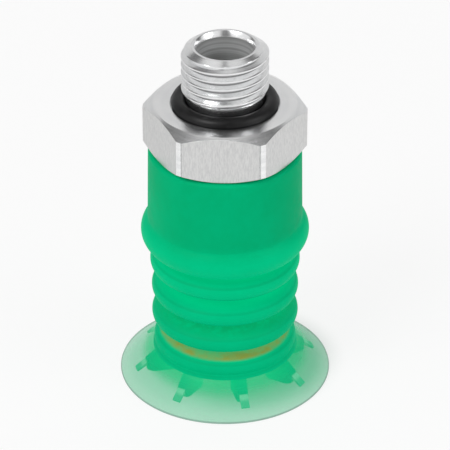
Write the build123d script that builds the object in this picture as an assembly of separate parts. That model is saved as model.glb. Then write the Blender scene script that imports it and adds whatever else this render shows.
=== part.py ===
"""Bellows suction cup: a threaded aluminium nipple with a sealing ring, a four-fold silicone
bellows pushed over its barb, and a thin ribbed sealing lip with a stiff ring inside its neck.

Millimetres. The origin is the centre of the lip's sealing plane and +Z runs up the axis to the thread.
"""
from build123d import *
import math
import os

os.makedirs("parts", exist_ok=True)

# Heights along the axis
total_height = 57.2
hex_top = 47.5
hex_height = 7.8
fold_4_height = 6.0

# Nipple
thread_major_radius = 6.5785
thread_end_radius = 4.88
mouth_flare = 0.32
mouth_depth = 1.0
passage_radius = 4.3
relief_radius = 5.9
relief_top_above_hex = 1.9
across_flats = 22.0
corner_diameter = 24.8
hex_face_diameter = 21.2
hex_chamfer_angle = 30.0
stem_radius = 8.7
barb_radius = 10.0
barb_taper = 0.9
barb_above_bulge = 0.8
barb_back_length = 1.8
passage_end_chamfer = 0.6

# Sealing ring under the thread
ring_section = 2.2
ring_clearance = 0.03
ring_pocket_room = 0.2
ring_pocket_depth = 1.0

# Silicone sleeve and bellows: a drop is how far a straight flank falls beyond its two rounds
sleeve_top_radius = 11.67
sleeve_bottom_radius = 11.84
sleeve_edge_round = 0.5
sleeve_fit = 0.03
bulge_swell = 1.06
bulge_round = 2.7
bulge_flank_drop = 0.1
wall = 1.0
fold_1_radius = 11.55
fold_radius = 11.35
fold_4_radius = 11.06
fold_round = 1.5
fold_flank_drop = 0.375
valley_radius = 8.0
valley_1_radius = 8.7
valley_round = 0.5
valley_1_flank_drop = 0.05
fold_band = 0.9
valley_band = 0.8
end_gap = 0.2

# Support ring
support_inset = 2.66
support_flange = 0.7
support_fit = 0.05
support_lift = 0.02
hub_clearance = 0.65
hub_wall = 1.35
hub_height = 2.6
hub_drop = 0.6
hub_fit = 0.1
lug_count = 4
lug_length = 1.6
lug_angle = 52.0
lug_thickness = 1.3
lug_corner = 0.8

# Neck of the lip, with the seat of the support ring
floor_thickness = 1.0
seat_lip_height = 0.35
neck_angle = 28.0

# Sealing lip and its ribs
lip_radius = 16.4
lip_edge = 0.25
lip_land = 0.4
lip_root_drop = 0.4
lip_root_outset = 0.19
lip_root_thickness = 0.9
rim_height = 0.5
rib_count = 8
rib_turn = 16.3
rib_free_edge = 0.9
rib_inset = 1.35
rib_draft = 0.2
rib_gap = 0.1
rib_bite = 0.25
rib_heel_outset = 0.25
rib_step_share = 0.41
rib_shoulder_height = 1.4
rib_step_height = 0.7
rib_tip_inset = 2.1
rib_tip_height = 0.45
rib_root_width = 2.0
rib_shoulder_width = 1.5
rib_tip_width = 1.3

# Heights that follow from the ones above
hex_bottom = hex_top - hex_height
fold_pitch = 2 * (fold_round + fold_flank_drop + valley_round)
fold_3_height = fold_4_height + fold_pitch
fold_2_height = fold_3_height + fold_pitch
fold_1_height = fold_2_height + fold_pitch
valley_4_height = fold_4_height + fold_pitch / 2
valley_3_height = fold_3_height + fold_pitch / 2
valley_2_height = fold_2_height + fold_pitch / 2
valley_1_height = fold_1_height + fold_round + valley_1_flank_drop + valley_round
bulge_height = valley_1_height + valley_round + bulge_flank_drop + bulge_round
barb_height = bulge_height + barb_above_bulge
spigot_end = bulge_height - (bulge_round - wall) + end_gap
sleeve_cut = spigot_end - end_gap / 2
neck_cut = fold_4_height + fold_band / 2
floor_top = fold_4_height
floor_underside = floor_top - floor_thickness
lip_root_height = floor_underside - lip_root_drop

# Radii that follow from the ones above
mouth_radius = passage_radius + mouth_flare
ring_pocket_radius = relief_radius + ring_section + ring_pocket_room
barb_tip_radius = barb_radius - barb_taper
bulge_radius = sleeve_bottom_radius + bulge_swell
support_radius = fold_4_radius - support_inset
hub_outer = valley_radius - wall - hub_clearance
hub_inner = hub_outer - hub_wall
lug_flat = hub_inner - lug_length
seat_radius = support_radius + support_fit
neck_radius = hub_outer + hub_fit
lip_root_outer = fold_4_radius + lip_root_outset
lip_root_inner = lip_root_outer - lip_root_thickness
rib_inner = neck_radius + rib_inset
rib_vane_outer = lip_root_inner - rib_gap
rib_heel = lip_root_outer + rib_heel_outset
rib_tip = lip_radius - rib_tip_inset
rib_shoulder = rib_heel + rib_step_share * (rib_tip - rib_heel)


def drawn(edges):
    """Face in the XZ plane inside a closed chain of edges drawn as (radius, height)."""
    return Plane.XZ * make_face(edges)


def outline(*points):
    """Face in the XZ plane with straight sides through (radius, height) points."""
    return drawn(Polyline(*points, close=True))


def turned(face):
    """Solid made by turning a face once round the axis."""
    return revolve(face, Axis.Z)


def slice_between(solid, low, high):
    """The part of a turned solid between two heights."""
    side = 4 * lip_radius
    slab = Pos(0, 0, (low + high) / 2) * Box(side, side, high - low)
    return solid & slab


def on_circle(centre, radius, angle):
    """Point of a circle at an angle in degrees."""
    turn = math.radians(angle)
    return centre[0] + radius * math.cos(turn), centre[1] + radius * math.sin(turn)


def nipple():
    """Turned body with its through passage, milled to a hexagon over the middle."""
    chamfer_rise = math.tan(math.radians(hex_chamfer_angle))
    corner = corner_diameter / 2
    hex_face = hex_face_diameter / 2
    chamfer = (corner - hex_face) * chamfer_rise
    thread_start = hex_top + relief_top_above_hex + (thread_major_radius - relief_radius)
    thread_stop = total_height - (thread_major_radius - thread_end_radius)
    pocket_floor = hex_top - ring_pocket_depth
    turned_body = turned(outline(
        (passage_radius, spigot_end + passage_end_chamfer),
        (passage_radius + passage_end_chamfer, spigot_end),
        (barb_tip_radius, spigot_end),
        (barb_radius, barb_height),
        (stem_radius, barb_height + barb_back_length),
        (stem_radius, hex_bottom),
        (hex_face, hex_bottom),
        (corner, hex_bottom + chamfer),
        (corner, hex_top - chamfer),
        (hex_face, hex_top),
        (ring_pocket_radius, hex_top),
        (ring_pocket_radius, pocket_floor),
        (relief_radius, pocket_floor),
        (relief_radius, hex_top + relief_top_above_hex),
        (thread_major_radius, thread_start),
        (thread_major_radius, thread_stop),
        (thread_end_radius, total_height),
        (mouth_radius, total_height),
        (passage_radius, total_height - mouth_depth),
    ))
    hexagon = extrude(
        Pos(0, 0, hex_bottom) * RegularPolygon(across_flats / 2, 6, major_radius=False),
        hex_height,
    )
    waist = slice_between(turned_body, hex_bottom, hex_top) & hexagon
    below = slice_between(turned_body, spigot_end, hex_bottom)
    above = slice_between(turned_body, hex_top, total_height)
    return below + waist + above


def sealing_ring():
    """Round-section ring lying in the pocket of the hexagon's face."""
    centre = relief_radius + ring_clearance + ring_section / 2
    height = hex_top - ring_pocket_depth + ring_section / 2
    return Pos(0, 0, height) * Torus(centre, ring_section / 2)


def sleeve():
    """Thick upper end of the bellows, held on the stem by the barb inside its bulge."""
    centre = (bulge_radius - bulge_round, bulge_height)
    low_angle = math.degrees(math.asin((sleeve_cut - bulge_height) / bulge_round))
    high_angle = math.degrees(math.acos((sleeve_bottom_radius - centre[0]) / bulge_round))
    pocket = barb_radius + sleeve_fit
    bore = stem_radius + sleeve_fit
    arc_start = on_circle(centre, bulge_round, low_angle)
    arc_end = on_circle(centre, bulge_round, high_angle)
    top_round_start = (sleeve_top_radius, hex_bottom - sleeve_edge_round)
    top_round_end = (sleeve_top_radius - sleeve_edge_round, hex_bottom)
    round_centre = (sleeve_top_radius - sleeve_edge_round, hex_bottom - sleeve_edge_round)
    return turned(drawn([
        CenterArc(centre, bulge_round, low_angle, high_angle - low_angle),
        Line(arc_end, top_round_start),
        CenterArc(round_centre, sleeve_edge_round, 0, 90),
        Polyline(
            top_round_end,
            (bore, hex_bottom),
            (bore, barb_height + barb_back_length + sleeve_fit),
            (pocket, barb_height + sleeve_fit),
            (pocket, sleeve_cut),
            arc_start,
        ),
    ]))


def tangent_angle(upper, lower):
    """Angle of the straight flank's ends on two turns that the wall passes on opposite sides."""
    across = lower["centre"][0] - upper["centre"][0]
    down = lower["centre"][1] - upper["centre"][1]
    between = math.degrees(math.atan2(down, across))
    swing = math.degrees(math.acos((upper["round"] + lower["round"]) / math.hypot(across, down)))
    return between + swing if upper["crest"] else between - swing


def wall_side(turns, inward):
    """One side of the bellows wall, from the bulge down to the lowest fold, as arcs and flanks."""
    edges = []
    start = 0.0
    for upper, lower in zip(turns, turns[1:]):
        flank = tangent_angle(upper, lower)
        radius = upper["round"] - inward if upper["crest"] else upper["round"] + inward
        next_radius = lower["round"] - inward if lower["crest"] else lower["round"] + inward
        if not upper["crest"]:
            flank += 360
        edges.append(CenterArc(upper["centre"], radius, start, flank - start))
        start = flank - 180 if lower["crest"] else flank + 180
        edges.append(Line(
            on_circle(upper["centre"], radius, flank),
            on_circle(lower["centre"], next_radius, start),
        ))
    last = turns[-1]
    edges.append(CenterArc(last["centre"], last["round"] - inward, start, -start))
    return edges


def bellows_wall():
    """The whole convoluted wall in one, from the bulge's crest to the lowest fold's crest."""
    crests = [
        (fold_1_radius, fold_1_height),
        (fold_radius, fold_2_height),
        (fold_radius, fold_3_height),
        (fold_4_radius, fold_4_height),
    ]
    valleys = [
        (valley_1_radius, valley_1_height),
        (valley_radius, valley_2_height),
        (valley_radius, valley_3_height),
        (valley_radius, valley_4_height),
    ]
    bulge_centre = (bulge_radius - bulge_round, bulge_height)
    turns = [{"crest": True, "centre": bulge_centre, "round": bulge_round}]
    for valley, crest in zip(valleys, crests):
        turns.append({
            "crest": False, "centre": (valley[0] + valley_round, valley[1]), "round": valley_round,
        })
        turns.append({
            "crest": True, "centre": (crest[0] - fold_round, crest[1]), "round": fold_round,
        })
    outer = wall_side(turns, 0)
    inner = wall_side(turns, wall)
    top = Line(outer[0] @ 0, inner[0] @ 0)
    bottom = Line(outer[-1] @ 1, inner[-1] @ 1)
    return turned(drawn(outer + inner + [top, bottom]))


def bellows_pieces():
    """The wall below the sleeve, parted where it bends: at each fold, each valley and between."""
    whole = bellows_wall()
    folds = [fold_1_height, fold_2_height, fold_3_height, fold_4_height]
    valleys = [valley_1_height, valley_2_height, valley_3_height, valley_4_height]
    pieces = {}
    above = sleeve_cut
    for n, (valley, fold) in enumerate(zip(valleys, folds), 1):
        upper_name = "bulge_lower_wall" if n == 1 else f"fold_{n - 1}_lower_wall"
        pieces[upper_name] = slice_between(whole, valley + valley_band / 2, above)
        pieces[f"valley_ring_{n}"] = slice_between(
            whole, valley - valley_band / 2, valley + valley_band / 2)
        pieces[f"fold_{n}_upper_wall"] = slice_between(
            whole, fold + fold_band / 2, valley - valley_band / 2)
        if n < len(folds):
            pieces[f"fold_{n}_ring"] = slice_between(whole, fold - fold_band / 2, fold + fold_band / 2)
        above = fold - fold_band / 2
    return pieces


def lip_cone():
    """The thin flared lip in one, from its root to the flat land of its rim."""
    return turned(outline(
        (lip_root_inner, lip_root_height),
        (lip_root_outer, lip_root_height),
        (lip_radius, lip_edge),
        (lip_radius, 0),
        (lip_radius - lip_land, 0),
    ))


def underside(radius):
    """Height of the lip's underside at a radius."""
    run = lip_radius - lip_land - lip_root_inner
    return lip_root_height * (lip_radius - lip_land - radius) / run


def rib_plate(points, width):
    """Upright plate along +X through (radius, height) points, centred on the axis plane."""
    return extrude(outline(*points), width / 2, both=True)


def round_the_axis(piece, count, turn):
    """Copies of a piece spaced evenly round the axis, from a first angle."""
    return [Rot(0, 0, turn + 360 * n / count) * piece for n in range(count)]


def lip_neck():
    """Lowest fold with its floor, the seat of the support ring and the inner ends of the ribs."""
    centre = (fold_4_radius - fold_round, fold_4_height)
    top_angle = math.degrees(math.asin((neck_cut - fold_4_height) / fold_round))
    outer_top = on_circle(centre, fold_round, top_angle)
    outer_low = on_circle(centre, fold_round, -neck_angle)
    body = turned(drawn([
        CenterArc(centre, fold_round, top_angle, -neck_angle - top_angle),
        Polyline(
            outer_low,
            (lip_root_outer, lip_root_height),
            (lip_root_inner, lip_root_height),
            (lip_root_inner - (floor_underside - lip_root_height), floor_underside),
            (neck_radius, floor_underside),
            (neck_radius, floor_top),
            (seat_radius, floor_top),
            (seat_radius, floor_top + seat_lip_height),
            (centre[0], floor_top + seat_lip_height),
            (centre[0], neck_cut),
            outer_top,
        ),
    ]))
    vane = rib_plate([
        (rib_inner, floor_underside),
        (rib_inner + rib_draft, rib_free_edge),
        (rib_vane_outer, rib_free_edge),
        (rib_vane_outer, floor_underside + floor_thickness / 2),
        (rib_inner, floor_underside + floor_thickness / 2),
    ], rib_root_width)
    for copy in round_the_axis(vane, rib_count, rib_turn):
        body += copy
    return body


def lip_skirt():
    """Flexing part of the lip, with the outer ends of the ribs that thin out along it."""
    cone = slice_between(lip_cone(), rim_height, lip_root_height)
    deep = rib_plate([
        (lip_root_inner, rib_free_edge),
        (rib_heel, rib_free_edge),
        (rib_shoulder, rib_shoulder_height),
        (rib_shoulder, underside(rib_shoulder) + rib_bite),
        (lip_root_inner, lip_root_height - rib_gap),
    ], rib_shoulder_width)
    tip = rib_plate([
        (rib_shoulder - rib_bite, underside(rib_shoulder) - rib_step_height),
        (rib_tip, underside(rib_tip) - rib_tip_height),
        (rib_tip, underside(rib_tip) + rib_bite),
        (rib_shoulder - rib_bite, underside(rib_shoulder) + rib_bite),
    ], rib_tip_width)
    for piece in (deep, tip):
        for copy in round_the_axis(piece, rib_count, rib_turn):
            cone += copy
    return cone


def lip_rim():
    """Outer edge of the lip, whose narrow flat land meets the work."""
    return slice_between(lip_cone(), 0, rim_height)


def support_ring():
    """Stiff ring clipped above the floor, with inward lugs that hold the neck open."""
    bottom = floor_top + support_lift
    ring = turned(outline(
        (hub_inner, bottom - hub_drop),
        (hub_outer, bottom - hub_drop),
        (hub_outer, bottom),
        (support_radius, bottom),
        (support_radius, bottom + support_flange),
        (hub_outer, bottom + support_flange),
        (hub_outer, bottom + hub_height - hub_drop),
        (hub_inner, bottom + hub_height - hub_drop),
    ))
    half = hub_inner * math.tan(math.radians(lug_angle / 2))
    root = hub_inner + hub_wall / 2
    lug = extrude(make_face(Polyline(
        (root, -half),
        (lug_flat + lug_corner, -half),
        (lug_flat, lug_corner - half),
        (lug_flat, half - lug_corner),
        (lug_flat + lug_corner, half),
        (root, half),
        close=True,
    )), lug_thickness)
    for copy in round_the_axis(Pos(0, 0, bottom) * lug, lug_count, rib_turn):
        ring += copy
    return ring


pieces = {
    "nipple": nipple(),
    "o_ring": sealing_ring(),
    "bellows_sleeve": sleeve(),
    **bellows_pieces(),
    "lip_neck": lip_neck(),
    "support_ring": support_ring(),
    "lip_skirt": lip_skirt(),
    "lip_rim": lip_rim(),
}
for name, piece in pieces.items():
    export_step(piece, f"parts/{name}.step")
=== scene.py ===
"""Bellows suction cup: a threaded aluminium nipple with a sealing ring, a folded bellows of green
silicone, an orange support ring and a thin ribbed sealing lip, standing in a white studio."""
import math
import bmesh
import bpy
import numpy as np
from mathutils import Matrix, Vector


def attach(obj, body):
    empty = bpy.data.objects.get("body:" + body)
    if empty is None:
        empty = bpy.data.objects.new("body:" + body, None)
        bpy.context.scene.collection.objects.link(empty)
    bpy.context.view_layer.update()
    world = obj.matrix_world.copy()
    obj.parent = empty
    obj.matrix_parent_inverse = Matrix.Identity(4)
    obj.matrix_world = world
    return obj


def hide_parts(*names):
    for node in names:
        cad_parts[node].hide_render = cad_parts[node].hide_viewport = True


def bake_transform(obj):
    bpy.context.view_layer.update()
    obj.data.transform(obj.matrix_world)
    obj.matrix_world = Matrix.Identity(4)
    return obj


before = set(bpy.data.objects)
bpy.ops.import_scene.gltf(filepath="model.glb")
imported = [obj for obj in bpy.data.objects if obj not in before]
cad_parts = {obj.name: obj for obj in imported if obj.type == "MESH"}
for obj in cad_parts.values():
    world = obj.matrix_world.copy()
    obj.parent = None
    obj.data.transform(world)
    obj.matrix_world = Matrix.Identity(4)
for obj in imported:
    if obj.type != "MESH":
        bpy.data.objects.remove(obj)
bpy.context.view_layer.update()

# Camera: it stands where the photograph was taken from, nearly square to a flat of the hexagon and
# about 32 degrees above the table, with a long lens that frames the whole cup. Its place is in
# metres.
camera_turn = math.radians(3.3)
camera_rise = math.radians(31.9)
camera_distance = 0.4738
camera_aim = Vector((0, 0, 0.0258))
camera_lens = 247
nearest_seen, farthest_seen = 0.01, 20
away = Vector((
    math.sin(camera_turn) * math.cos(camera_rise),
    -math.cos(camera_turn) * math.cos(camera_rise),
    math.sin(camera_rise),
))
camera = bpy.data.objects.new("camera", bpy.data.cameras.new("camera"))
camera.data.lens = camera_lens
camera.data.clip_start = nearest_seen
camera.data.clip_end = farthest_seen
camera.location = camera_aim + away * camera_distance
camera.rotation_mode = "QUATERNION"
camera.rotation_quaternion = (-away).to_track_quat("-Z", "Y")
bpy.context.scene.collection.objects.link(camera)
bpy.context.scene.camera = camera


# Nipple: one aluminium turning with a G 1/4 thread, milled to a hexagon of 22 mm across flats and
# left bright, with fine tool marks round its axis. The stem and barb below are pushed into the
# sleeve. Sizes here and below are in millimetres, with heights from the plane of the lip.
MM = 0.001
total_height = 57.2
hex_top, hex_bottom = 47.5, 39.7
flat_distance, corner_radius = 11.0, 12.4
hex_face_radius = 10.6
chamfer_slope = math.tan(math.radians(30))
pocket_radius, pocket_floor = 8.3, 46.5
relief_radius, relief_top = 5.9, 49.4
thread_pitch = 1.337
thread_major, thread_root = 6.5785, 5.7225
thread_end_radius, thread_end_slope = 5.05, 1.4
mouth_radius, mouth_depth, passage_radius = 4.62, 1.0, 4.3
stem_radius = 8.7
barb_radius, barb_height, barb_back_length = 10.0, 26.4, 1.8
spigot_end, spigot_radius, passage_end_round = 24.1, 9.1, 0.6
broken_edge = 0.09


class Value:
    """A socket of a finish. Arithmetic on it adds Math nodes."""

    def __init__(self, finish, socket):
        self.finish = finish
        self.socket = socket

    def __add__(self, other):
        return self.finish.math("ADD", self, other)

    def __radd__(self, other):
        return self.finish.math("ADD", other, self)

    def __sub__(self, other):
        return self.finish.math("SUBTRACT", self, other)

    def __rsub__(self, other):
        return self.finish.math("SUBTRACT", other, self)

    def __mul__(self, other):
        return self.finish.math("MULTIPLY", self, other)

    def __rmul__(self, other):
        return self.finish.math("MULTIPLY", other, self)

    def __pow__(self, other):
        return self.finish.math("POWER", self, other)

    def __abs__(self):
        return self.finish.math("ABSOLUTE", self)


class Finish:
    """The nodes of a material or a world, each added with its settings first and then its sockets."""

    def __init__(self, owner):
        self.owner = owner
        owner.use_nodes = True
        self.tree = owner.node_tree
        self.tree.nodes.clear()

    def node(self, kind, settings=None, inputs=None, output=0):
        """A node of this kind, given back as one of its outputs."""
        made = self.tree.nodes.new(kind)
        for key, value in (settings or {}).items():
            setattr(made, key, value)
        for key, value in (inputs or {}).items():
            if isinstance(value, Value):
                self.tree.links.new(value.socket, made.inputs[key])
            else:
                made.inputs[key].default_value = value
        return Value(self, made.outputs[output]) if made.outputs else None

    def math(self, operation, first, second=0.0):
        """One step of arithmetic on numbers or sockets."""
        return self.node("ShaderNodeMath", {"operation": operation}, {0: first, 1: second})

    def place(self):
        """Position on the object, in millimetres."""
        metres = self.node("ShaderNodeTexCoord", output="Object")
        return self.node("ShaderNodeVectorMath", {"operation": "SCALE"}, {0: metres, "Scale": 1 / MM})

    def vector(self, x, y, z=0.0):
        """A vector of three numbers."""
        return self.node("ShaderNodeCombineXYZ", {}, {"X": x, "Y": y, "Z": z})

    def parts(self, vector):
        """The three numbers of a vector."""
        first = self.node("ShaderNodeSeparateXYZ", {}, {0: vector})
        return [Value(self, number) for number in first.socket.node.outputs]

    def noise(self, vector, per_mm, detail=2.0, roughness=0.5):
        """Noise from 0 to 1, with so many grains in a millimetre."""
        return self.node("ShaderNodeTexNoise", {}, {
            "Vector": vector, "Scale": per_mm, "Detail": detail, "Roughness": roughness,
        })

    def between(self, value, low, high, out_low=0.0, out_high=1.0):
        """A value carried smoothly from one range to another."""
        return self.node("ShaderNodeMapRange", {"interpolation_type": "SMOOTHSTEP"}, {
            "Value": value, "From Min": low, "From Max": high, "To Min": out_low, "To Max": out_high,
        })

    def fading(self, value, low, high):
        """1 up to the low value, falling smoothly to 0 at the high one."""
        return self.between(value, low, high, 1.0, 0.0)

    def band(self, value, low, full, leaving, high):
        """0 below and above, and 1 from the full to the leaving value."""
        return self.between(value, low, full) * self.fading(value, leaving, high)

    def spread(self, noise, out_low=0.0, out_high=1.0):
        """Noise, most of which lies between 0.3 and 0.7, spread over a range."""
        return self.between(noise, 0.3, 0.7, out_low, out_high)

    def mix(self, factor, first, second):
        """Colour between two colours."""
        return self.node("ShaderNodeMix", {"data_type": "RGBA"}, {0: factor, 6: first, 7: second}, 2)

    def bump(self, height, depth, strength):
        """Normal of a surface whose hollows are so many millimetres deep."""
        return self.node("ShaderNodeBump", {}, {
            "Height": height, "Distance": depth * MM, "Strength": strength,
        })

    def done(self, **sockets):
        """Closes the finish with one Principled shader; underscores in names stand for spaces."""
        shader = self.node("ShaderNodeBsdfPrincipled", {}, {
            key.replace("_", " "): value for key, value in sockets.items()
        })
        self.node("ShaderNodeOutputMaterial", {}, {"Surface": shader})
        return self.owner


def linear(red, green, blue):
    """Shader colour of a display colour given as 0 to 255."""
    shares = [c / 255 for c in (red, green, blue)]
    return (*(c / 12.92 if c * 255 <= 10 else ((c + 0.055) / 1.055) ** 2.4 for c in shares), 1.0)


def bright_aluminium():
    """Turned faces are bright, the flats keep the skin of the drawn bar and the bore is dull. The
    thread's roots and the bore carry painted shade.
    """
    finish = Finish(bpy.data.materials.new("bright_aluminium"))
    place = finish.place()
    x, y, z = finish.parts(place)
    radius = (x * x + y * y) ** 0.5

    across = abs(y)
    for face in (math.radians(30), math.radians(150)):
        across = finish.math("MAXIMUM", across, abs(x * math.cos(face) + y * math.sin(face)))
    flat = finish.between(across, flat_distance - 0.02, flat_distance - 0.01)
    bored = finish.fading(radius, passage_radius + 0.01, passage_radius + 0.05)
    thread_zone = (relief_top + 0.1, relief_top + 0.4, total_height - 1.6, total_height - 1.3)
    in_thread = finish.band(z, *thread_zone)
    groove = in_thread * finish.fading(radius, thread_root + 0.04, thread_root + 0.2) * (1 - bored)

    round_axis = finish.vector(radius, z)
    tool_marks = finish.noise(round_axis, 5.2, detail=2.0, roughness=0.7)
    streaks = finish.noise(round_axis, 0.9, detail=3.0, roughness=0.6)
    handling = finish.noise(place, 0.16, detail=4.0, roughness=0.6)
    scuffs = finish.between(finish.noise(finish.vector(x, y, z * 5), 1.5), 0.5, 0.7)
    drawn_grain = finish.noise(finish.vector(x, y, z * 0.2), 5.6, detail=3.0, roughness=0.7)

    tone = finish.spread(streaks * 0.6 + handling * 0.4)
    turned = finish.mix(tone, linear(230, 231, 232), linear(248, 248, 248))
    drawn = finish.mix(finish.spread(drawn_grain), linear(204, 204, 204), linear(222, 222, 221))
    # Painted shade: the thread's roots and the inside of the bore are darkened in the base colour, and
    # small scuffs darken the thread too.
    painted_groove_shade, painted_bore_shade, scuff_shade = 0.6, 0.6, 0.08
    # The painted shade in the bore is streaky and follows the turning's streaks.
    painted_shade_and_scuffs = groove * painted_groove_shade + bored * finish.between(streaks, 0.35, 0.65, 0.0, painted_bore_shade)
    painted_shade_and_scuffs = finish.math("MAXIMUM", painted_shade_and_scuffs, scuffs * in_thread * scuff_shade)
    bright = finish.mix(painted_shade_and_scuffs, turned, linear(80, 80, 81))

    smoothest, roughest, flat_extra, bore_extra = 0.17, 0.27, 0.14, 0.15
    worn = finish.between(tool_marks * 0.5 + handling * 0.5, 0.25, 0.75, smoothest, roughest)
    relief = (tool_marks + streaks) * (1 - flat) + drawn_grain * flat * 0.5
    return finish.done(
        Base_Color=finish.mix(flat, bright, drawn),
        Metallic=1 - bored * 0.5,
        Roughness=worn + flat * flat_extra + bored * bore_extra,
        Normal=finish.bump(relief, 0.012, 0.6),
    )


aluminium = bright_aluminium()


def linked(mesh, name, material):
    """A mesh as an object of the scene, in one material."""
    mesh.materials.append(material)
    made = bpy.data.objects.new(name, mesh)
    bpy.context.scene.collection.objects.link(made)
    return made


def grid_mesh(name, rows, sharp_degrees):
    """Mesh through rows of points round the axis, each row going on from the one before."""
    count = len(rows[0])
    faces = []
    for i in range(len(rows) - 1):
        for j in range(count):
            k = (j + 1) % count
            faces.append((i * count + j, (i + 1) * count + j, (i + 1) * count + k, i * count + k))
    mesh = bpy.data.meshes.new(name)
    mesh.from_pydata([tuple(c * MM for c in point) for row in rows for point in row], [], faces)
    mesh.shade_smooth()
    mesh.set_sharp_from_angle(angle=math.radians(sharp_degrees))
    return mesh


def full_turn(count):
    """Even angles once round the axis."""
    return [2 * math.pi * j / count for j in range(count)]


def around(radius, height, angles):
    """Row of points round the axis."""
    return [(radius * math.cos(a), radius * math.sin(a), height) for a in angles]


def nipple_body():
    """Hexagon, ring pocket, stem, barb and passage, with every edge broken."""
    step_degrees = 2.5
    strip = math.degrees(math.acos(flat_distance / corner_radius))
    degrees = {round(a * step_degrees, 6) for a in range(int(360 / step_degrees))}
    for face in range(6):
        middle = 30 + 60 * face
        degrees |= {round((middle - strip) % 360, 6), round((middle + strip) % 360, 6)}
    angles = [math.radians(a) for a in sorted(degrees)]

    def corner_row(height, sign):
        """Edge of the hexagon's sides, which climbs where a flat meets the chamfer."""
        row = []
        for a in angles:
            off_flat = (math.degrees(a) % 60) - 30
            r = min(corner_radius, flat_distance / math.cos(math.radians(off_flat)))
            z = height + sign * (r - hex_face_radius) * chamfer_slope
            row.append((r * math.cos(a), r * math.sin(a), z))
        return row

    rows = [
        around(passage_radius, total_height - mouth_depth, angles),
        around(passage_radius, spigot_end + passage_end_round, angles),
        around(passage_radius + passage_end_round, spigot_end, angles),
        around(spigot_radius, spigot_end, angles),
        around(barb_radius, barb_height, angles),
        around(stem_radius, barb_height + barb_back_length, angles),
        around(stem_radius, hex_bottom, angles),
        around(hex_face_radius, hex_bottom, angles),
        corner_row(hex_bottom, 1),
        corner_row(hex_top, -1),
        around(hex_face_radius, hex_top, angles),
        around(pocket_radius, hex_top, angles),
        around(pocket_radius, pocket_floor, angles),
        around(relief_radius, pocket_floor, angles),
        around(relief_radius, relief_top, angles),
    ]
    body = linked(grid_mesh("nipple_body", rows, sharp_degrees=25), "nipple_body", aluminium)
    edge = body.modifiers.new("broken_edges", "BEVEL")
    edge.width = broken_edge * MM
    edge.segments = 3
    edge.limit_method = "ANGLE"
    edge.angle_limit = math.radians(18)
    edge.harden_normals = True
    return body


def pipe_thread():
    """Rows that climb with the helix, cut off by the relief below and the end's chamfer above."""
    turn_columns = 144
    rows_a_pitch = 24
    crest_share = 0.17
    rounding = 0.2
    weld = 0.002
    height = total_height - relief_top

    def point(angle, climb):
        z = relief_top + min(max(climb, 0.0), height)
        share = climb / thread_pitch - angle / (2 * math.pi)
        across = abs(2 * (share % 1.0) - 1)
        rise = min(max((across - crest_share) / (1 - 2 * crest_share), 0.0), 1.0)
        rise += rounding * (rise * rise * (3 - 2 * rise) - rise)
        thread = thread_root + (thread_major - thread_root) * rise
        lead_in = relief_radius + (z - relief_top)
        end = thread_end_radius + (total_height - z) * thread_end_slope
        r = min(thread, lead_in, end)
        return (r * math.cos(angle) * MM, r * math.sin(angle) * MM, z * MM)

    count = math.ceil(height / thread_pitch * rows_a_pitch) + rows_a_pitch
    vertices = []
    for i in range(-rows_a_pitch, count + 1):
        climb = i * thread_pitch / rows_a_pitch
        vertices += [point(a, climb + thread_pitch * a / (2 * math.pi)) for a in full_turn(turn_columns)]
    row_count = count + rows_a_pitch + 1
    faces = []
    for i in range(row_count - 1):
        for j in range(turn_columns):
            a, b = i * turn_columns + j, (i + 1) * turn_columns + j
            if j < turn_columns - 1:
                faces.append((a, a + 1, b + 1, b))
            elif i + rows_a_pitch + 1 < row_count:
                after = (i + rows_a_pitch) * turn_columns
                faces.append((a, after, after + turn_columns, b))
    mesh = bpy.data.meshes.new("pipe_thread")
    mesh.from_pydata(vertices, [], faces)
    shape = bmesh.new()
    shape.from_mesh(mesh)
    bmesh.ops.remove_doubles(shape, verts=shape.verts, dist=weld * MM)
    bmesh.ops.dissolve_degenerate(shape, edges=shape.edges, dist=weld * MM)
    bmesh.ops.recalc_face_normals(shape, faces=shape.faces)
    shape.to_mesh(mesh)
    shape.free()
    mesh.shade_smooth()
    mesh.set_sharp_from_angle(angle=math.radians(38))
    return linked(mesh, "pipe_thread", aluminium)


def nipple_mouth():
    """End face of the thread and the flared mouth of the passage."""
    angles = full_turn(120)
    soft, lean, joint_depth = 0.06, 0.018, 0.002
    rows = [
        around(passage_radius, total_height - mouth_depth, angles),
        around(mouth_radius - lean, total_height - soft, angles),
        around(mouth_radius + soft, total_height, angles),
        around(thread_end_radius - soft, total_height, angles),
        around(thread_end_radius, total_height - joint_depth, angles),
    ]
    return linked(grid_mesh("nipple_mouth", rows, sharp_degrees=40), "nipple_mouth", aluminium)


for piece in (nipple_body(), pipe_thread(), nipple_mouth()):
    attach(piece, "fitting")
    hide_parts("nipple")


# Sealing ring: a black rubber O-ring that lies in the pocket of the hexagon's face, round the
# relief below the thread. It is moulded, with a satin skin and a faint parting line.
parting_height, parting_half_width = 47.6, 0.07


def black_rubber():
    """Near black, with a little dust and a fine skin."""
    finish = Finish(bpy.data.materials.new("black_rubber"))
    place = finish.place()
    height = finish.parts(place)[2]
    dust = finish.noise(place, 0.7, detail=3.0, roughness=0.6)
    skin = finish.noise(place, 5.2, detail=3.0, roughness=0.6)
    parting = finish.fading(abs(height - parting_height), 0.0, parting_half_width)
    return finish.done(
        Base_Color=finish.mix(finish.between(dust, 0.4, 0.8), linear(8, 8, 9), linear(24, 24, 25)),
        Roughness=finish.spread(dust, 0.34, 0.48),
        Normal=finish.bump(skin + parting, 0.01, 0.5),
        Specular_IOR_Level=0.3,
    )


ring_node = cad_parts["o_ring"]
ring_node.data.materials.clear()
ring_node.data.materials.append(black_rubber())
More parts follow.
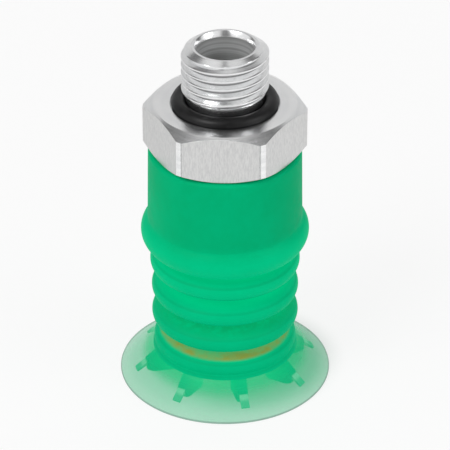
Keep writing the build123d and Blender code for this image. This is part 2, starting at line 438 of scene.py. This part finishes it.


# Bellows: one green translucent silicone moulding with a thick sleeve over the stem, a bulge over the
# barb and four folds. It is satin, with a faint moulding bloom.
lowest_fold, fold_pitch = 6.0, 4.75
fold_heights = [lowest_fold + fold_pitch * n for n in (3, 2, 1, 0)]
fold_radii = [11.55, 11.35, 11.35, 11.06]
valley_heights = [22.3, 17.875, 13.125, 8.375]
valley_radii = [8.7, 8.0, 8.0, 8.0]
fold_round, valley_round = 1.5, 0.5
bulge_radius, bulge_round, bulge_height = 12.9, 2.7, 25.6
sleeve_top_radius, sleeve_bottom_radius, sleeve_edge = 11.67, 11.84, 0.5
wall = 1.0
stroke_start = 24.0
tilt_band = 1.2
neck_angle = math.radians(-28)
bellows_columns = 144


def green_silicone():
    """Thick silicone is a full green. Thin walls are a darker green with a painted glow that stands in
    for light coming through them, strongest in the valleys and at the ribs' steps, with painted shade
    lines round the folds. A painted orange shows where the ring inside lies above the lowest fold, and a
    painted shadow dims the fold over it."""
    finish = Finish(bpy.data.materials.new("green_silicone"))
    place = finish.place()
    x, y, height = finish.parts(place)
    radius = (x * x + y * y) ** 0.5
    cloud = finish.noise(place, 0.13, detail=3.0, roughness=0.55)
    bloom = finish.noise(place, 0.9, detail=4.0, roughness=0.6)
    skin = finish.noise(place, 5.2, detail=2.0, roughness=0.6)
    tone = finish.spread(cloud * 0.7 + bloom * 0.3)

    thin_reach, folds_reach = 3.6, 2.0
    thin = finish.fading(height, bulge_height, bulge_height + thin_reach)
    folds = finish.fading(height, stroke_start - folds_reach, stroke_start)
    valley_end, crest_start = 8.8, 11.2
    crest = finish.between(radius, valley_end, crest_start)
    fold_phase = (height - lowest_fold) * (1 / fold_pitch) + 0.5
    from_crest = abs(finish.math("FRACT", fold_phase) - 0.5) * fold_pitch
    # Painted shade: soft lines of weaker glow round each fold, just above and below its crest.
    turn_shade_zone, above_lip = (0.7, 0.95, 0.95, 1.3), (4.4, 4.8)
    turn_shade = finish.band(from_crest, *turn_shade_zone) * finish.between(height, *above_lip)
    # Painted light: the ribs' thin steps under the lip are paler and glow, standing in for light coming
    # through them.
    step_start, step_end, step_end_share = (12.6, 12.8), (13.1, 13.7), 0.35
    under_lip = (4.8, 5.2)
    step = finish.between(radius, *step_start) * finish.fading(height, *under_lip)
    step = step * finish.between(radius, *step_end, 1.0, step_end_share)
    # Painted see-through: a mottled brown-orange with its own glow is painted on the wall above the
    # lowest fold, where the orange ring lies behind it.
    ring_zone, ring_reach = (7.0, 7.5, 7.6, 8.4), (9.7, 10.4)
    ring_show_through = finish.band(height, *ring_zone) * finish.fading(radius, *ring_reach)
    ring_show_through = ring_show_through * finish.between(cloud * 0.6 + bloom * 0.4, 0.35, 0.65, 0.4, 0.9)
    # Painted shadow: the glow is weaker in a mottled band on the fold above the ring, where the ring
    # shades the light coming through.
    ring_shadow_zone = (11.4, 12.1, 12.8, 13.4)
    painted_ring_shadow = finish.band(height, *ring_shadow_zone) * finish.between(bloom, 0.35, 0.65, 0.5, 0.9)

    thick_green = finish.mix(tone, linear(0, 169, 109), linear(0, 177, 118))
    thin_green = finish.mix(tone, linear(0, 128, 84), linear(0, 136, 92))
    painted_step_light, painted_ring_through = linear(120, 190, 160), linear(150, 100, 20)
    colour = finish.mix(thin, thick_green, thin_green)
    colour = finish.mix(step, colour, painted_step_light)
    colour = finish.mix(ring_show_through, colour, painted_ring_through)

    # Painted glow: emission stands in for light coming through the thin walls. It rises with height and
    # is strongest in the valleys between folds, and the thin walls' darker green balances it.
    thick_glow, ring_shadow_glow = (0.0, 0.02, 0.012, 1), (0.002, 0.23, 0.09, 1)
    low_glow, high_glow = (0.0, 0.25, 0.11, 1), (0.0, 0.32, 0.14, 1)
    valley_glow, turn_shade_glow = (0.0, 0.39, 0.17, 1), (0.0, 0.17, 0.07, 1)
    step_glow, painted_ring_glow = (0.14, 0.30, 0.20, 1), (0.12, 0.17, 0.03, 1)
    low_height, high_height = 9.0, 24.0
    glow = finish.mix(finish.between(height, low_height, high_height), low_glow, high_glow)
    glow = finish.mix(thin, thick_glow, glow)
    glow = finish.mix(folds * (1 - crest), glow, valley_glow)
    glow = finish.mix(turn_shade * folds * 0.5, glow, turn_shade_glow)
    glow = finish.mix(painted_ring_shadow, glow, ring_shadow_glow)
    glow = finish.mix(step, glow, step_glow)
    glow = finish.mix(ring_show_through, glow, painted_ring_glow)
    return finish.done(
        Base_Color=colour, Emission_Color=glow, Emission_Strength=1.0,
        Roughness=finish.spread(bloom, 0.44, 0.56),
        Normal=finish.bump(skin, 0.006, 0.35),
        IOR=1.41, Specular_IOR_Level=0.03,
    )


silicone = green_silicone()


def arc(centre, radius, start, end, count):
    """Points (radius, height) along an arc, without its last one."""
    angles = [start + (end - start) * k / count for k in range(count)]
    return [(centre[0] + radius * math.cos(a), centre[1] + radius * math.sin(a)) for a in angles]


def run(start, end, count):
    """Points (radius, height) along a straight run, without its last one."""
    return [
        (start[0] + (end[0] - start[0]) * k / count, start[1] + (end[1] - start[1]) * k / count)
        for k in range(count)
    ]


def wall_side(inward):
    """One side of the wall from the bulge's crest down round fold 4, as (radius, height) points."""
    arc_steps, flank_steps, neck_steps = 22, 4, 16
    turns = [(True, (bulge_radius - bulge_round, bulge_height), bulge_round)]
    for fold in range(4):
        valley_centre = (valley_radii[fold] + valley_round, valley_heights[fold])
        turns.append((False, valley_centre, valley_round))
        turns.append((True, (fold_radii[fold] - fold_round, fold_heights[fold]), fold_round))
    points = []
    start = 0.0
    for (crest, centre, bend), (_, next_centre, next_bend) in zip(turns, turns[1:]):
        out, up = next_centre[0] - centre[0], next_centre[1] - centre[1]
        swing = math.acos((bend + next_bend) / math.hypot(out, up))
        flank = math.atan2(up, out) + (swing if crest else 2 * math.pi - swing)
        side_bend = bend - inward if crest else bend + inward
        next_side_bend = next_bend + inward if crest else next_bend - inward
        points += arc(centre, side_bend, start, flank, arc_steps)
        start = flank + (math.pi if crest else -math.pi)
        flank_top, = arc(centre, side_bend, flank, flank, 1)
        flank_foot, = arc(next_centre, next_side_bend, start, start, 1)
        points += run(flank_top, flank_foot, flank_steps)
    _, centre, bend = turns[-1]
    points += arc(centre, bend - inward, start, neck_angle, neck_steps)
    return points + arc(centre, bend - inward, neck_angle, neck_angle, 1)


def stretch(side, high, low):
    """The points of a side between two heights, with points added at both ends."""
    nearest = 0.002
    radii = np.array([p[0] for p in side][::-1])
    heights = np.array([p[1] for p in side][::-1])
    inside = [p for p in side if low + nearest < p[1] < high - nearest]
    ends = [(float(np.interp(z, heights, radii)), z) for z in (high, low)]
    return [ends[0], *inside, ends[1]]


def side_normals(points, side):
    """Normals of the points, from the slope of the whole side, so that joined pieces shade as one."""
    heights = np.array([p[1] for p in side][::-1])
    radii = np.array([p[0] for p in side][::-1])
    slopes = np.gradient(radii, heights)
    normals = []
    for _, z in points:
        slope = float(np.interp(z, heights, slopes))
        length = math.hypot(1.0, slope)
        normals.append((1.0 / length, -slope / length))
    return normals


outer_side = wall_side(0.0)
inner_side = wall_side(wall)


def wall_piece(name, high, low):
    """Both sides of the wall between two heights, turned round the axis as one piece."""
    count = bellows_columns
    angles = full_turn(count)
    vertices, faces, normals = [], [], []
    for side, sign in ((outer_side, 1), (inner_side, -1)):
        points = stretch(side, high, low)
        ordered = list(zip(points, side_normals(points, side)))[::sign]
        first = len(vertices)
        for (r, z), (out, up) in ordered:
            vertices += [(r * math.cos(a) * MM, r * math.sin(a) * MM, z * MM) for a in angles]
            normals += [(sign * out * math.cos(a), sign * out * math.sin(a), sign * up) for a in angles]
        for i in range(len(ordered) - 1):
            for j in range(count):
                k = (j + 1) % count
                a, b = first + i * count, first + (i + 1) * count
                faces.append((a + j, b + j, b + k, a + k))
    mesh = bpy.data.meshes.new(name)
    mesh.from_pydata(vertices, [], faces)
    mesh.shade_smooth()
    mesh.normals_split_custom_set_from_vertices(normals)
    return linked(mesh, name, silicone)


def sleeve_piece():
    """The part of the moulding that stays on the stem, down to where the folds begin to move."""
    centre = (bulge_radius - bulge_round, bulge_height)
    bulge_top = math.acos((sleeve_bottom_radius - centre[0]) / bulge_round)
    bulge_cut = math.asin((stroke_start - bulge_height) / bulge_round)
    crease_swing, crease_height = 0.12, 0.55
    flat_end = 1.6
    stem_gap = 0.03
    foot = (sleeve_bottom_radius, centre[1] + bulge_round * math.sin(bulge_top))
    crease_start = (foot[0], foot[1] + crease_height)
    side_start = (sleeve_top_radius, hex_bottom - sleeve_edge)
    edge_centre = (sleeve_top_radius - sleeve_edge, hex_bottom - sleeve_edge)

    profile = [(stem_radius + stem_gap, hex_bottom), (edge_centre[0] - flat_end, hex_bottom)]
    profile += arc(edge_centre, sleeve_edge, math.pi / 2, 0.0, count=8)
    profile += run(side_start, crease_start, count=6)
    profile += run(crease_start, foot, count=4)
    profile += arc(centre, bulge_round, bulge_top - crease_swing, bulge_cut, count=40)
    profile += [
        (centre[0] + bulge_round * math.cos(bulge_cut), stroke_start),
        (centre[0] + (bulge_round - wall) * math.cos(bulge_cut), stroke_start),
        (barb_radius + stem_gap, stroke_start),
        (barb_radius + stem_gap, barb_height + stem_gap),
        (stem_radius + stem_gap, barb_height + barb_back_length),
        (stem_radius + stem_gap, hex_bottom),
    ]
    rows = [around(r, z, full_turn(bellows_columns)) for r, z in profile]
    mesh = grid_mesh("bellows_sleeve_skin", rows, sharp_degrees=50)
    return linked(mesh, "bellows_sleeve_skin", silicone)


sleeve = sleeve_piece()
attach(sleeve, "fitting")
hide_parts("bellows_sleeve")


def blended(piece, upper, lower, high, low, slot, *nodes):
    """A piece of silicone between two heights, baked in place, that hides the model's nodes it replaces.
    """
    high * MM
    low * MM
    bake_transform(piece)
    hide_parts(*nodes)


first_fold_top = fold_heights[0] + tilt_band
blended(
    wall_piece("bulge_foot", stroke_start, first_fold_top),
    "fitting", "valley_1", stroke_start, first_fold_top, "bellows", "bulge_lower_wall", "valley_ring_1",
)
for n, height in enumerate(fold_heights, 1):
    lowest = n == len(fold_heights)
    fold_body = "lip" if lowest else f"fold_{n}"
    fold_nodes = [f"fold_{n}_upper_wall"] if lowest else [f"fold_{n}_upper_wall", f"fold_{n}_ring"]
    blended(
        wall_piece(f"fold_{n}_top", height + tilt_band, height),
        f"valley_{n}", fold_body, height + tilt_band, height, "bellows", *fold_nodes,
    )
    if not lowest:
        next_top = fold_heights[n] + tilt_band
        blended(
            wall_piece(f"fold_{n}_underside", height, next_top),
            fold_body, f"valley_{n + 1}", height, next_top, "bellows",
            f"fold_{n}_lower_wall", f"valley_ring_{n + 1}",
        )


# Support ring: a stiff orange plastic ring snapped into the lowest fold, whose flange rests on the
# neck's floor. Its four inward lugs hold the neck open under vacuum.
def orange_plastic():
    """Cloudy orange, with a painted glow that stands in for light coming through it."""
    finish = Finish(bpy.data.materials.new("orange_plastic"))
    place = finish.place()
    cloud = finish.spread(finish.noise(place, 0.3, detail=3.0, roughness=0.6))
    skin = finish.noise(place, 3.8)
    return finish.done(
        Base_Color=finish.mix(cloud, linear(214, 122, 8), linear(226, 142, 22)),
        # Painted glow: a constant orange emission keeps the ring bright where no lamp reaches it.
        Emission_Color=finish.mix(cloud, (0.40, 0.12, 0.0, 1), (0.45, 0.14, 0.0, 1)),
        Emission_Strength=1.0,
        Roughness=finish.spread(skin, 0.36, 0.48),
        Normal=finish.bump(skin, 0.01, 0.4),
    )


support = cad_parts["support_ring"]
support.data.materials.clear()
support.data.materials.append(orange_plastic())


# Neck: the lower half of fold 4 with its floor, moulded in one with the bellows. The floor has a
# round hole for the air and a shallow groove below, and its edge carries the sealing lip.
floor_top, floor_underside = 6.0, 5.0
lip_root_height, lip_root_outer, lip_root_inner = 4.6, 11.25, 10.35
neck_radius, hole_round, hole_bevel = 6.45, 0.3, 0.15
seat_radius, seat_step = 8.45, 0.35
groove_outer, groove_inner, groove_depth = 9.3, 8.05, 0.18
groove_outer_slope, groove_inner_slope = 0.2, 0.15
root_lean, root_rise = 0.14, 0.3
seam_bottom, seam_top = 0.45, 0.8
seat_back, wall_foot = 0.3, 0.02


def neck_piece():
    """Profile down the fold's outside, under the floor, up through the hole and back to the wall."""
    crest_radius = fold_radii[-1] - fold_round
    groove_top = floor_underside + groove_depth
    corner = 0.08
    profile = stretch(outer_side, lowest_fold, outer_side[-1][1]) + [
        (lip_root_outer - root_lean, lip_root_height + root_rise),
        (lip_root_outer, lip_root_height),
        (lip_root_inner, lip_root_height),
        (lip_root_inner - seam_bottom, floor_underside - corner),
        (lip_root_inner - seam_top, floor_underside),
        (groove_outer, floor_underside),
        (groove_outer - groove_outer_slope, groove_top),
        (groove_inner + groove_inner_slope, groove_top),
        (groove_inner, floor_underside),
        (neck_radius + hole_round, floor_underside),
        (neck_radius + corner, floor_underside + corner),
        (neck_radius, floor_underside + hole_round),
        (neck_radius, floor_top - hole_bevel),
        (neck_radius + hole_bevel, floor_top),
        (seat_radius, floor_top),
        (seat_radius, floor_top + seat_step),
        (crest_radius - seat_back, floor_top + seat_step),
        (crest_radius + fold_round - wall, lowest_fold + wall_foot),
    ]
    rows = [around(r, z, full_turn(bellows_columns)) for r, z in profile]
    return linked(grid_mesh("neck", rows, sharp_degrees=50), "neck", silicone)


neck = neck_piece()
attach(neck, "lip")
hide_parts("lip_neck")


# Sealing lip: thin, soft and paler silicone moulded onto the neck, flaring to a narrow land that meets
# the work. It is frosted, so that the ribs below show through.
lip_radius, lip_edge, lip_land = 16.4, 0.25, 0.4
rim_height = 0.5
lip_columns = 180


def frosted_silicone():
    """Greener and thicker at the neck, clearer outward, with a darker line along the rim. It carries a
    painted glow that is stronger at the neck and absent at the rim, and that stands in for light coming
    through it.
    """
    finish = Finish(bpy.data.materials.new("frosted_silicone"))
    place = finish.place()
    x, y, _ = finish.parts(place)
    radius = (x * x + y * y) ** 0.5
    cloud = finish.noise(place, 0.17, detail=3.0, roughness=0.6)
    skin = finish.noise(place, 4.2, detail=2.0, roughness=0.6)
    green_end, clear_start, far_start, far_end = 11.0, 14.2, 13.8, 16.2
    rim_start, rim_full = 16.26, 16.34
    outward = finish.between(radius + (cloud - 0.5) * 0.6, green_end, clear_start)
    far_out = finish.between(radius, far_start, far_end)
    rim = finish.between(radius, rim_start, rim_full)
    colour = finish.mix(outward, linear(0, 170, 112), linear(10, 176, 124))
    # Painted glow: emission stands in for light coming through the lip.
    glow = finish.mix(outward, (0.0, 0.20, 0.08, 1), (0.01, 0.12, 0.06, 1))
    neck_cover, outer_cover, far_loss, rim_gain = 0.70, 0.43, 0.08, 0.2
    cover = finish.between(outward, 0.0, 1.0, neck_cover, outer_cover)
    return finish.done(
        Base_Color=finish.mix(rim, colour, linear(40, 134, 104)),
        Emission_Color=finish.mix(rim, glow, (0.0, 0.0, 0.0, 1)), Emission_Strength=1.0,
        Roughness=finish.spread(cloud, 0.34, 0.44),
        Alpha=cover - far_out * far_loss + rim * rim_gain,
        Normal=finish.bump(skin, 0.006, 0.4),
        IOR=1.41, Specular_IOR_Level=0.2,
    )


def lip_piece():
    """Upper side, rounded edge, land and underside, as one closed skin."""
    round_edge = 0.07
    edge_lean, edge_rise = 0.04, 0.05
    fillet_out, fillet_drop = 0.12, 0.16
    side_steps = 12
    flare_start = (lip_root_outer + fillet_out, lip_root_height - fillet_drop)
    land_start = (lip_radius - lip_land, 0.0)
    root = (lip_root_inner, lip_root_height)
    profile = [(lip_root_outer, lip_root_height)]
    profile += run(flare_start, (lip_radius, lip_edge), side_steps)
    profile += [
        (lip_radius - edge_lean, lip_edge + edge_rise),
        (lip_radius, lip_edge - round_edge),
        (lip_radius, round_edge),
        (lip_radius - round_edge, 0.0),
    ]
    profile += run(land_start, root, side_steps) + [root]
    rows = [around(r, z, full_turn(lip_columns)) for r, z in profile]
    mesh = grid_mesh("sealing_lip", rows, sharp_degrees=50)
    return linked(mesh, "sealing_lip", frosted_silicone())


blended(lip_piece(), "lip", "lip_edge", lip_root_height, rim_height, "lip", "lip_skirt", "lip_rim")


# Ribs: eight upright webs moulded in one with the neck, deep at the root and stepping down to a low
# tip along the lip's underside. They stop the lip from being sucked flat.
rib_count, rib_turn = 8, math.radians(16.3)
rib_inner, rib_free_edge, rib_heel, rib_shoulder = 7.8, 0.9, 11.5, 12.65
rib_shoulder_height, rib_tip = 1.4, 14.3
rib_step, rib_tip_height = 0.7, 0.45
rib_bite, rib_root_bite, rib_tip_overlap = 0.05, 0.1, 0.3
rib_width_radii, rib_half_widths = (rib_inner, 10.3, rib_shoulder), (1.0, 0.95, 0.75)
rib_tip_half_width = 0.65
rib_edge_round = 0.13


def lip_under(radius):
    """Height of the lip's underside at a radius."""
    land_start = lip_radius - lip_land
    return lip_root_height * (land_start - radius) / (land_start - lip_root_inner)


def web(shape, outline_points, half_width, turn):
    """Upright web with an outline of (radius, height) points, added to a mesh in the making."""
    sides = []
    for sign in (-1, 1):
        side = []
        for r, z in outline_points:
            off = sign * half_width(r)
            x = r * math.cos(turn) - off * math.sin(turn)
            y = r * math.sin(turn) + off * math.cos(turn)
            side.append(shape.verts.new(Vector((x, y, z)) * MM))
        sides.append(side)
    shape.faces.new(sides[0][::-1])
    shape.faces.new(sides[1])
    count = len(outline_points)
    for k in range(count):
        m = (k + 1) % count
        shape.faces.new((sides[0][k], sides[0][m], sides[1][m], sides[1][k]))


def rib_pieces():
    """All eight ribs as one mesh: a deep web under the neck and a low tip beyond the step."""
    root_height = floor_underside + rib_root_bite
    tip_start = rib_shoulder - rib_tip_overlap
    deep = [
        (rib_inner, root_height),
        (rib_inner + 0.05, 2.2),
        (rib_inner + 0.3, 1.25),
        (rib_inner + 0.8, rib_free_edge),
        (rib_heel - 0.2, rib_free_edge),
        (rib_heel + 0.5, 1.02),
        (rib_shoulder, rib_shoulder_height),
        (rib_shoulder, lip_under(rib_shoulder) + rib_bite),
        (lip_root_inner, lip_root_height + rib_bite),
        (lip_root_inner - 0.6, root_height),
    ]
    tip = [
        (tip_start, lip_under(tip_start) - rib_step),
        (rib_tip - 0.2, lip_under(rib_tip - 0.2) - rib_tip_height),
        (rib_tip, lip_under(rib_tip) - 0.1),
        (rib_tip, lip_under(rib_tip) + rib_bite),
        (tip_start, lip_under(tip_start) + rib_bite),
    ]
    shape = bmesh.new()
    for n in range(rib_count):
        turn = rib_turn + 2 * math.pi * n / rib_count
        web(shape, deep, lambda r: float(np.interp(r, rib_width_radii, rib_half_widths)), turn)
        web(shape, tip, lambda r: rib_tip_half_width, turn)
    bmesh.ops.recalc_face_normals(shape, faces=shape.faces)
    least_corner = 0.5
    corners = [edge for edge in shape.edges if edge.calc_face_angle(0) > least_corner]
    bmesh.ops.bevel(
        shape, geom=corners, offset=rib_edge_round * MM, segments=3, profile=0.5,
        affect="EDGES", clamp_overlap=True,
    )
    mesh = bpy.data.meshes.new("lip_ribs")
    shape.to_mesh(mesh)
    shape.free()
    mesh.shade_smooth()
    mesh.set_sharp_from_angle(angle=math.radians(50))
    return linked(mesh, "lip_ribs", silicone)


blended(rib_pieces(), "lip", "lip_edge", lip_root_height, rim_height, "bellows", "lip_skirt")


# Table: white paper that runs up into a backdrop, with its sizes in metres. It carries a painted shadow
# under the lip, mirrors less of itself behind and to the left, and is clear from below, so that the
# lip's underside can be looked at.
table_half_width, table_front, table_back, backdrop_height = 1.5, -2.0, 1.2, 2.0
sweep_round = 0.4
table_gap = 0.00005


def white_table():
    """Paper that takes shadows, with its own white added where it is seen directly. Places on it are
    in millimetres."""
    finish = Finish(bpy.data.materials.new("white_table"))
    ray = "ShaderNodeLightPath"
    seen = finish.node(ray, output="Is Camera Ray")
    mirrored = finish.node(ray, output="Is Glossy Ray")
    through = finish.node(ray, output="Is Transmission Ray")
    x, y, _ = finish.parts(finish.place())
    behind, behind_share = (0, 100), 0.25
    left, left_share = (-70, -30), 0.55
    mirror_share = finish.between(y, *behind, 1.0, behind_share)
    mirror_share = mirror_share * finish.between(x, *left, left_share, 1.0)
    # Painted shadow: in a disc under the lip, shifted to the right and back, the table's own white is
    # cut back. There the paper's own shading and the cup's real shadow show instead.
    shade_x, shade_y = 3, 2
    shade_core, shade_edge, shade_level = 10.0, 16.5, 0.45
    aside, beyond = x - shade_x, y - shade_y
    from_shade = (aside * aside + beyond * beyond) ** 0.5
    outside_painted_shadow = finish.between(from_shade, shade_core, shade_edge, shade_level, 1.0)
    direct = finish.math("MAXIMUM", through, mirrored * mirror_share)
    own_white = 0.85
    direct = finish.math("MAXIMUM", seen, direct) * outside_painted_shadow * own_white

    paper = finish.node("ShaderNodeBsdfDiffuse", {}, {"Color": (0.86, 0.86, 0.86, 1)})
    white = finish.node("ShaderNodeEmission", {}, {"Color": (1, 1, 1, 1), "Strength": 1.0})
    lit = finish.node("ShaderNodeMixShader", {}, {0: direct, 1: paper, 2: white})
    clear = finish.node("ShaderNodeBsdfTransparent", {}, {"Color": (1, 1, 1, 1)})
    underneath = finish.node("ShaderNodeNewGeometry", output="Backfacing")
    table = finish.node("ShaderNodeMixShader", {}, {0: underneath, 1: lit, 2: clear})
    finish.node("ShaderNodeOutputMaterial", {}, {"Surface": table})
    return finish.owner


def table_and_backdrop():
    """One strip across, flat and then swept up."""
    sweep_start = table_back - sweep_round
    first_bend, last_bend, bend_steps = 0.1, 1.57, 12
    rows = [(table_front, 0.0), (sweep_start, 0.0)]
    for bend in np.linspace(first_bend, last_bend, bend_steps):
        back = sweep_start + sweep_round * math.sin(bend)
        rows.append((back, sweep_round - sweep_round * math.cos(bend)))
    rows.append((table_back, backdrop_height))
    vertices = [(x, y, z) for y, z in rows for x in (-table_half_width, table_half_width)]
    faces = [(2 * i, 2 * i + 1, 2 * i + 3, 2 * i + 2) for i in range(len(rows) - 1)]
    mesh = bpy.data.meshes.new("table")
    mesh.from_pydata(vertices, [], faces)
    mesh.shade_smooth()
    return linked(mesh, "table", white_table())


table = table_and_backdrop()
table.location.z = -table_gap


# Light: a broad soft lamp above and to the left and a weaker one on the right, in a room of three
# white panels. The gaps between the panels give the bright metal its grey bands.
def soft_lamp(name, place, width, power):
    """Round lamp turned to the cup, in metres and watts."""
    lamp = bpy.data.objects.new(name, bpy.data.lights.new(name, "AREA"))
    lamp.data.shape = "DISK"
    lamp.data.size = width
    lamp.data.energy = power
    lamp.location = place
    lamp.rotation_mode = "QUATERNION"
    lamp.rotation_quaternion = (camera_aim - Vector(place)).to_track_quat("-Z", "Y")
    bpy.context.scene.collection.objects.link(lamp)


soft_lamp("key_lamp", place=(-0.5, -0.55, 0.75), width=0.5, power=4.0)
soft_lamp("side_lamp", place=(0.7, -0.25, 0.4), width=0.4, power=1.0)


def three_panel_room():
    """A gap lies in front of the cup and one at each side behind it, with a slightly grey ceiling."""
    panel_count = 3
    panel_light, gap_loss, ceiling_loss = 1.05, 0.85, 0.1
    gap_edge, ceiling_edge = (0.3, 0.85), (0.7, 0.95)
    room = bpy.data.worlds.new("room")
    bpy.context.scene.world = room
    finish = Finish(room)
    x, y, z = finish.parts(finish.node("ShaderNodeTexCoord", output="Generated"))
    turn = finish.math("ARCTAN2", x, 0 - y)
    gap = finish.between(finish.math("COSINE", turn * panel_count), *gap_edge)
    ceiling = finish.between(z, *ceiling_edge)
    level = (panel_light - gap * gap_loss) * (1 - ceiling * ceiling_loss)
    seen = finish.node("ShaderNodeLightPath", output="Is Camera Ray")
    white = finish.node("ShaderNodeBackground", {}, {"Strength": level * (1 - seen) + seen})
    finish.node("ShaderNodeOutputWorld", {}, {"Surface": white})


three_panel_room()
bpy.context.scene.view_settings.view_transform = "Standard"
